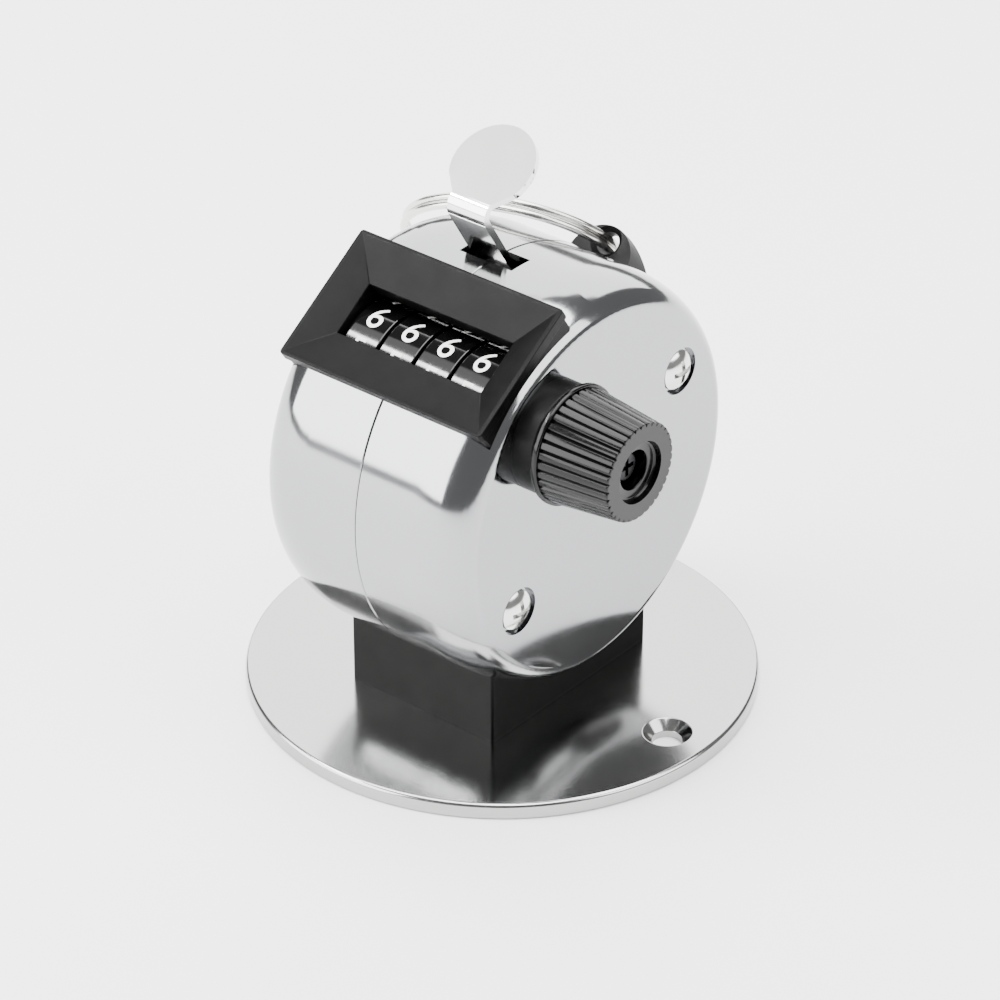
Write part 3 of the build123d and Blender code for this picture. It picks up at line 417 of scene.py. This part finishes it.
# %% Put a finish on every CAD node
finish_of = {
    "base_plate": base_metal, "base_screws": zinc_metal, "left_shell": case_metal,
    "right_shell": case_metal, "case_screws": screw_metal, "thumb_lever": lever_metal,
    "split_ring": ring_metal, "lever_spring": spring_metal, "ratchet_wheel": brass_metal,
    "shaft_collar": brass_metal, "reset_knob": glossy_black, "knob_screw": black_screw,
    "pedestal": grained_black, "window_bezel": grained_black, "knob_collar": grained_black,
    "ring_lug": grained_black, "spring_seat": zinc_metal, "shaft_clip": spring_metal,
}
for name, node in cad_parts.items():
    if name.endswith("_pinion"):
        finish_of[name] = acetal_white
    elif name.endswith("_wheel") and name != "ratchet_wheel":
        finish_of[name] = wheel_black
    finish = finish_of.get(name, zinc_metal)
    for slot in node.material_slots:
        slot.material = finish
print("finished", len(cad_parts), "nodes, zinc on",
      sorted(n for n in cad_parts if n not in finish_of))

# %% [markdown]
# ## The figures
# Each wheel carries the ten figures at 36 degrees, stamped round its rim. A figure is cut here as a
# prism and then cropped to a thin skin on the wheel, so it follows the curve exactly and stands two
# hundredths proud. One set is made and copied to the other wheels.

# %% Stamp one set of figures
figure_height = 3.0 * MM
figure_width = 1.85 * MM
figure_proud = 0.02 * MM
figure_sunk = 0.08 * MM
shown_figure = 6
shown_angle = math.radians(19)


def figure_prism(number, scale_x, scale_y):
    only(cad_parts["base_plate"]).select_set(False)
    bpy.ops.object.text_add()
    obj = bpy.context.object
    obj.data.body = str(number)
    obj.data.size = 4 * MM
    obj.data.resolution_u = 8
    obj.data.fill_mode = "FRONT"
    bpy.ops.object.convert(target="MESH")
    bpy.ops.object.mode_set(mode="EDIT")
    bpy.ops.mesh.select_all(action="SELECT")
    bpy.ops.mesh.remove_doubles(threshold=2e-6)
    bpy.ops.mesh.extrude_region_move(TRANSFORM_OT_translate={"value": (0, 0, 1.2 * MM)})
    bpy.ops.mesh.select_all(action="SELECT")
    bpy.ops.mesh.normals_make_consistent(inside=False)
    bpy.ops.object.mode_set(mode="OBJECT")
    bpy.ops.object.origin_set(type="ORIGIN_GEOMETRY", center="BOUNDS")
    if scale_x is None:
        scale_x, scale_y = figure_width / obj.dimensions.x, figure_height / obj.dimensions.y
    turn = window_slope - shown_angle - (number - shown_figure) * math.radians(36)
    place = (Matrix.Translation(shaft) @ Matrix.Rotation(turn, 4, "X")
             @ Matrix.Translation((0, 0, wheel_radius)) @ Matrix.Diagonal((scale_x, scale_y, 1, 1)))
    obj.matrix_world = Matrix.Identity(4)
    obj.data.transform(place)
    return obj, scale_x, scale_y


first, wide, tall = figure_prism(8, None, None)
prisms = [first] + [figure_prism(n, wide, tall)[0] for n in (0, 1, 2, 3, 4, 5, 6, 7, 9)]
half = wheel_width / 2
axle = Matrix.Translation(shaft) @ ALONG_X @ Matrix.Rotation(math.radians(0.37), 4, "Z")
skin = turned("skin", [(wheel_radius + figure_proud, -half), (wheel_radius + figure_proud, half)], 240, axle)
core = turned("core", [(wheel_radius - figure_sunk, -wheel_width), (wheel_radius - figure_sunk, wheel_width)],
              240, axle)
for prism in prisms:
    apply(prism, "BOOLEAN", operation="INTERSECT", solver="EXACT", object=skin)
    apply(prism, "BOOLEAN", operation="DIFFERENCE", solver="EXACT", object=core)
bpy.data.objects.remove(skin)
bpy.data.objects.remove(core)
only(prisms[0])
for prism in prisms:
    prism.select_set(True)
bpy.ops.object.join()
figures = bpy.context.object
figures.name = "figures"
smoothed(figures)
for body in ("units", "tens", "hundreds", "thousands"):
    low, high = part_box(body + "_wheel")
    piece = figures.copy()
    piece.data = figures.data.copy()
    piece.data.transform(Matrix.Translation(((low.x + high.x) / 2, 0, 0)))
    piece.name = body + "_figures"
    bpy.context.scene.collection.objects.link(piece)
    shown(piece, body, figure_white, "white_plastic")
bpy.data.objects.remove(figures)

# %% [markdown]
# ## The window frame
# One moulding clips into the drum: a flat rim, four sloped walls that lead the eye down to a slot over
# the wheels, and a stepped body that drops into the case. It is built flat as two blocks, the funnel is
# cut by a tapered block, and every edge gets the small radius that a mould always has. Then it is laid
# on the window's slope, and a turned cutter clears the wheels.

# %% Model the window frame
frame_wide, frame_high, frame_thick = 26.5 * MM, 15.7 * MM, 1.2 * MM
frame_corner, frame_step, frame_depth = 0.4 * MM, 0.25 * MM, 3.2 * MM
frame_rim, funnel_depth = 0.55 * MM, 1.3 * MM
slot_wide, slot_high = 18.9 * MM, 6.1 * MM
frame_stand, frame_shift = 22.5 * MM, 0.6 * MM
mould_radius = 0.1 * MM
window_place = (Matrix.Translation(Vector((0, drum_y, drum_z)) + window_out * frame_stand
                                   + window_up * frame_shift) @ Matrix.Rotation(window_slope, 4, "X"))


def rectangle(wide, high, radius):
    return rounded([(-wide / 2, -high / 2, radius), (wide / 2, -high / 2, radius),
                    (wide / 2, high / 2, radius), (-wide / 2, high / 2, radius)], 4)


def pick_top(obj):
    """Goes into edit mode with only the highest face selected."""
    only(obj)
    bpy.ops.object.mode_set(mode="EDIT")
    bpy.ops.mesh.select_all(action="DESELECT")
    bpy.ops.object.mode_set(mode="OBJECT")
    max(obj.data.polygons, key=lambda face: face.center.z).select = True
    bpy.ops.object.mode_set(mode="EDIT")


def tapered(name, stations):
    """A block with a rectangular section that changes from station to station (wide, high, z)."""
    wide, high, start = stations[0]
    obj = bar(name, rectangle(wide, high, 0), start, stations[1][2], Matrix.Identity(4))
    pick_top(obj)
    for (w0, h0, z0), (w1, h1, z1) in zip(stations, stations[1:]):
        if z1 != stations[1][2]:
            bpy.ops.mesh.extrude_region_move(TRANSFORM_OT_translate={"value": (0, 0, z1 - z0)})
        bpy.ops.transform.resize(value=(w1 / w0, h1 / h0, 1), center_override=(0, 0, z1))
    bpy.ops.mesh.select_all(action="SELECT")
    bpy.ops.mesh.normals_make_consistent(inside=False)
    bpy.ops.object.mode_set(mode="OBJECT")
    return obj


rim_block = bar("window_frame", rectangle(frame_wide, frame_high, frame_corner), -frame_thick, 0,
                Matrix.Identity(4))
body_block = bar("body_block", rectangle(frame_wide - 2 * frame_step, frame_high - 2 * frame_step, frame_corner),
                 -frame_depth, -frame_thick / 2, Matrix.Identity(4))
apply(rim_block, "BOOLEAN", operation="UNION", solver="EXACT", object=body_block)
bpy.data.objects.remove(body_block)
slope_x = (frame_wide / 2 - frame_rim - slot_wide / 2) / funnel_depth
slope_y = (frame_high / 2 - frame_rim - slot_high / 2) / funnel_depth
over = 0.4 * MM
funnel = tapered("funnel", [
    (slot_wide, slot_high, -funnel_depth - 0.3 * MM), (slot_wide, slot_high, -funnel_depth),
    (slot_wide + 2 * slope_x * (funnel_depth + over), slot_high + 2 * slope_y * (funnel_depth + over), over)])
slot_block = bar("slot_block", rectangle(slot_wide, slot_high, 0), -2 * frame_depth, -funnel_depth - 0.1 * MM,
                 Matrix.Identity(4))
cut(rim_block, funnel, slot_block)
apply(rim_block, "BEVEL", width=mould_radius, segments=3, limit_method="ANGLE", angle_limit=math.radians(25),
      use_clamp_overlap=True)
rim_block.data.transform(window_place)
wheels_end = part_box("ratchet_wheel")[1].x + 0.3 * MM
clearance = turned("clearance", [(wheel_radius + 0.3 * MM, -slot_wide / 2), (wheel_radius + 0.3 * MM, wheels_end)],
                   96, Matrix.Translation(shaft) @ ALONG_X)
cut(rim_block, clearance)
smoothed(rim_block, 30)
shown(rim_block, "case", grained_black, "black_plastic", "window_bezel")

# %% [markdown]
# ## The thumb lever
# The lever is blanked from strip and bent twice: an arm inside the drum, a stem that leans forward
# through the slot, and a round pad that slopes back for the thumb. Here the strip's edge is drawn as a
# line with rounded bends, given its thickness and pushed across the width. The pad is the disc and the
# neck that the blanking tool cuts. The cut edges are tumbled, so each has a small radius.

# %% Model the thumb lever
strip, lever_wide, lever_x = 0.8 * MM, 4.9 * MM, -1.2 * MM
lever_lo, lever_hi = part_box("thumb_lever")
pivot = Vector((-5.427, 46.665)) * MM
tab_back, tab_level = lever_hi.y, 48.3 * MM
stem_foot = Vector((0.983, 48.3)) * MM
bend = Vector((-4.40, 57.09)) * MM
pad_centre, pad_round, pad_slope = Vector((0.08, 60.3)) * MM, 4.75 * MM, math.radians(35.6)
SIDE = Matrix(((0, 0, 1, 0), (1, 0, 0, 0), (0, 1, 0, 0), (0, 0, 0, 1)))


def strip_edge(path, thick):
    """The outline of a strip of this thickness along a path."""
    left, right = [], []
    for index, point in enumerate(path):
        ahead = path[min(index + 1, len(path) - 1)] - path[max(index - 1, 0)]
        side = Vector((-ahead.y, ahead.x)).normalized() * thick / 2
        left.append(point + side)
        right.append(point - side)
    return left + right[::-1]


pad_along = Vector((math.cos(pad_slope), math.sin(pad_slope)))
corners = [(pivot.x + 1.0 * MM, pivot.y + strip / 2, 0), (stem_foot.x, stem_foot.y, 0.8 * MM),
           (bend.x, bend.y, 1.3 * MM), tuple(bend + pad_along * 2.4 * MM) + (0,)]
path = [p for p in rounded(corners, 8)]
lever = bar("lever", strip_edge(path, strip), lever_x - lever_wide / 2, lever_x + lever_wide / 2, SIDE)
tab = bar("tab", rectangle(tab_back + 0.6 * MM, strip, 0), -lever_wide / 2, lever_wide / 2,
          SIDE @ Matrix.Translation(((tab_back - 0.6 * MM) / 2, tab_level, lever_x)))
reach = (pad_centre - bend).length
neck_y = 1.4 * MM - reach
neck_angle = math.acos(min(1.0, lever_wide / 2 / pad_round))
outline = [Vector((pad_round * math.cos(a), pad_round * math.sin(a)))
           for a in [math.radians(-28 + 236 * i / 72) for i in range(73)]]
outline += [Vector((-lever_wide / 2, neck_y)), Vector((lever_wide / 2, neck_y))]
pad_plane = (Matrix.Translation((lever_x, pad_centre.x, pad_centre.y))
             @ Matrix.Rotation(pad_slope, 4, "X"))
pad = bar("pad", outline, -strip / 2, strip / 2, pad_plane)
hub = turned("hub", [(1.3 * MM, lever_x - lever_wide / 2), (1.3 * MM, lever_hi.x)], 48,
             Matrix.Translation((0, pivot.x, pivot.y)) @ ALONG_X)
for part in (pad, tab, hub):
    apply(lever, "BOOLEAN", operation="UNION", solver="EXACT", object=part)
    bpy.data.objects.remove(part)
apply(lever, "BEVEL", width=0.12 * MM, segments=3, limit_method="ANGLE", angle_limit=math.radians(50),
      use_clamp_overlap=True)
smoothed(lever, 40)
lever.name = "lever_strip"
shown(lever, "lever", lever_metal, "lever_chrome", "thumb_lever")

# %% [markdown]
# ## The lever's return spring
# A compression spring stands under the lever's tab. It is one round section swept up a helix, as the
# wire is wound.

# %% Model the return spring
spring_lo, spring_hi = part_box("lever_spring")
spring_round = (spring_hi.x - spring_lo.x) / 2
spring_wire, spring_turns = 0.4 * MM, 6
spring_middle = (spring_lo + spring_hi) / 2
only(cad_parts["base_plate"]).select_set(False)
bpy.ops.mesh.primitive_circle_add(vertices=12, radius=spring_wire / 2, fill_type="NOTHING")
spring = bpy.context.object
spring.name = "return_spring"
spring.data.transform(Matrix.Translation((spring_round - spring_wire / 2, 0, 0)) @ Matrix.Rotation(math.radians(90), 4, "X"))
apply(spring, "SCREW", angle=spring_turns * 2 * math.pi, steps=spring_turns * 32, render_steps=spring_turns * 32,
      screw_offset=spring_hi.z - spring_lo.z - spring_wire, iterations=1, use_merge_vertices=False)
spring.data.transform(Matrix.Translation((spring_middle.x, spring_middle.y, spring_lo.z + spring_wire / 2)))
bpy.ops.object.mode_set(mode="EDIT")
bpy.ops.mesh.select_all(action="SELECT")
bpy.ops.mesh.fill_holes(sides=16)
bpy.ops.object.mode_set(mode="OBJECT")
smoothed(spring, 60)
shown(spring, "case", spring_metal, "spring_steel", "lever_spring")
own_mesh(spring)

# %% [markdown]
# ## The reset knob
# The knob is a glossy moulding with thirty-six soft ribs that taper to the end, so fingers can turn it.
# One rib's outline is repeated round the circle and extruded along the axis, drawn in at each step.
# The flange and the dish with the screw's pit are turned shapes, joined on and cut out.

# %% Model the reset knob
knob_lo, knob_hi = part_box("reset_knob")
knob_ribs, rib_depth = 36, 0.3 * MM
flange_round, flange_thick = (knob_hi.y - knob_lo.y) / 2, 0.65 * MM
barrel_root, barrel_tip = 6.15 * MM, 5.3 * MM
knob_length = knob_hi.x - knob_lo.x
rib = [(0.0, 1.0), (0.07, 0.75), (0.14, 0.3), (0.22, 0.06), (0.5, 0.0), (0.78, 0.06), (0.86, 0.3), (0.93, 0.75)]
ribbed = [Vector(((barrel_root - rib_depth * drop) * math.cos(turn), (barrel_root - rib_depth * drop) * math.sin(turn)))
          for k in range(knob_ribs) for share, drop in rib
          for turn in [(k + share) * 2 * math.pi / knob_ribs]]
knob = bar("knob", ribbed, 0.3 * MM, 0.6 * MM, Matrix.Identity(4))
pick_top(knob)
height, size = 0.6 * MM, barrel_root
tip = [(knob_length - 0.22 * MM, barrel_tip), (knob_length - 0.08 * MM, barrel_tip - 0.06 * MM),
       (knob_length, barrel_tip - 0.22 * MM)]
for new_height, new_size in tip:
    bpy.ops.mesh.extrude_region_move(TRANSFORM_OT_translate={"value": (0, 0, new_height - height)})
    bpy.ops.transform.resize(value=(new_size / size, new_size / size, 1), center_override=(0, 0, new_height))
    height, size = new_height, new_size
bpy.ops.object.mode_set(mode="OBJECT")
flange = turned("flange", [(p.x, p.y) for p in rounded([
    (0, 0, 0), (flange_round, 0, 0.15 * MM), (flange_round, flange_thick, 0.2 * MM), (0, flange_thick, 0)], 4)[1:-1]],
    144, Matrix.Identity(4))
apply(knob, "BOOLEAN", operation="UNION", solver="EXACT", object=flange)
bpy.data.objects.remove(flange)
dish = rounded([(0, knob_length - 2.6 * MM, 0), (2.1 * MM, knob_length - 2.6 * MM, 0.1 * MM),
                (2.1 * MM, knob_length - 0.8 * MM, 0.12 * MM), (3.2 * MM, knob_length - 0.8 * MM, 0.3 * MM),
                (3.4 * MM, knob_length + 0.5 * MM, 0), (0, knob_length + 0.5 * MM, 0)], 4)[1:-1]
cut(knob, turned("dish", [(p.x, p.y) for p in dish], 96, Matrix.Identity(4)))
knob.data.transform(Matrix.Translation((knob_lo.x, shaft.y, shaft.z)) @ ALONG_X)
smoothed(knob, 38)
knob.name = "ribbed_knob"
shown(knob, "knob", glossy_black, "knob_plastic", "reset_knob")

# %% [markdown]
# ## The base plate
# The base is turned from bar: a flat disc with a round on its top edge and a small break at the foot.
# Two screw holes are countersunk from above and their rims are softened, and two more are sunk from
# below for the screws that hold the pedestal. The turned cutters carry the softened rims with them.

# %% Model the base plate
base_lo, base_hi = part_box("base_plate")
base_round, base_thick = base_hi.x, base_hi.z
hole_round, sink_round, hole_place = 1.6 * MM, 2.6 * MM, 22.4 * MM
head_round, head_places = 2.85 * MM, (-6.9 * MM, 5.1 * MM)
base = turned("turned_base", [(p.x, p.y) for p in rounded([
    (0, 0, 0), (base_round, 0, 0.25 * MM), (base_round, base_thick, 0.5 * MM), (0, base_thick, 0)], 6)[1:-1]],
    288, Matrix.Identity(4))
sink_floor = base_thick - (sink_round - hole_round)
mouth = rounded([(hole_round, -MM, 0), (hole_round, sink_floor, 0.1 * MM),
                 (sink_round, base_thick - 0.003 * MM, 0.2 * MM), (sink_round + MM, base_thick - 0.003 * MM, 0)], 5)
mouth = [(p.x, p.y) for p in mouth[:-1]]
mouth.append((mouth[-1][0], base_thick + MM))
for side in (-1, 1):
    cut(base, turned("hole", mouth, 96, Matrix.Translation((side * hole_place, 0, 0))))
for y in head_places:
    cut(base, turned("sink", [(head_round + 0.1 * MM, -0.1 * MM), (head_round, 0),
                              (head_round - base_thick * 0.75, base_thick * 0.75), (0.8 * MM, 2 * base_thick)],
                     64, Matrix.Translation((0, y, 0))))
smoothed(base, 30)
shown(base, "case", base_metal, "base_steel", "base_plate")

# %% [markdown]
# ## The studio
# The object stands on a white sweep. A tall box at the front left lights the drum under the window, a
# second one at the back left lights the base and the top of the drum, and boxes above and on the right
# fill the rest. The dark gaps between the boxes draw the streaks that polished plating needs, and a
# small dim card above keeps the thumb pad apart from the background. A narrow bright strip under that
# card draws the line of light along the foot of each wheel.

# %% Floor
def stood(name, size, height):
    only(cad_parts["base_plate"]).select_set(False)
    bpy.ops.mesh.primitive_plane_add(size=size, location=(0, 0, height))
    obj = bpy.context.object
    obj.name = name
    return obj


floor = stood("studio_floor", 6.0, 0)
paper, paper_shader, paper_mm = new_finish("white_paper_sweep", "F4F4F4", 0.0)
rough(paper, paper_shader, between(paper, lumps(paper, paper_mm, 3.0), 0.75, 0.9))
floor.data.materials.append(paper)


# %% Lights
def softbox(name, direction, distance, wide, high, radiance, aim=Vector((0, 0, 0.03))):
    """A rectangle of light that far from the aim, facing it. Its power follows from its brightness."""
    light = bpy.data.lights.new(name, "AREA")
    light.shape = "RECTANGLE"
    light.size = wide
    light.size_y = high
    light.energy = radiance * math.pi * wide * high
    obj = bpy.data.objects.new(name, light)
    out = Vector(direction).normalized()
    obj.location = aim + out * distance
    obj.rotation_euler = out.to_track_quat("Z", "Y").to_euler()
    bpy.context.scene.collection.objects.link(obj)
    return obj


softbox("front_left_box", (-0.56, -0.80, 0.38), 0.9, 1.0, 0.62, 10.0)
softbox("back_left_box", (-0.60, 0.72, 0.52), 1.0, 1.3, 0.8, 5.0)
softbox("top_box", (0.0, 0.05, 1.0), 1.0, 1.0, 1.0, 11.0)
softbox("right_box", (0.80, 0.25, 0.62), 1.0, 0.8, 0.6, 6.0)
softbox("thumb_card", (-0.543, -0.27, 0.80), 0.6, 0.22, 0.12, 2.6)
softbox("wheel_strip", (-0.54, -0.405, 0.738), 0.5, 0.20, 0.035, 70.0)

world = bpy.data.worlds.new("white_room")
world.use_nodes = True
world.node_tree.nodes["Background"].inputs["Color"].default_value = srgb("FFFFFF")
world.node_tree.nodes["Background"].inputs["Strength"].default_value = 0.3
bpy.context.scene.world = world

# %% [markdown]
# ## The camera
# A long lens from the front right, a good way above the object, looking down at the middle of it.

# %% Camera
view_back = Vector((0.5428, -0.6538, 0.5272))
camera_data = bpy.data.cameras.new("camera")
camera_data.lens = 160.54
camera_data.sensor_width = 36.0
camera = bpy.data.objects.new("camera", camera_data)
camera.location = Vector((-0.00632, 0.00723, 0.01547)) + view_back * 0.479218
camera.rotation_euler = view_back.to_track_quat("Z", "Y").to_euler()
bpy.context.scene.collection.objects.link(camera)
bpy.context.scene.camera = camera
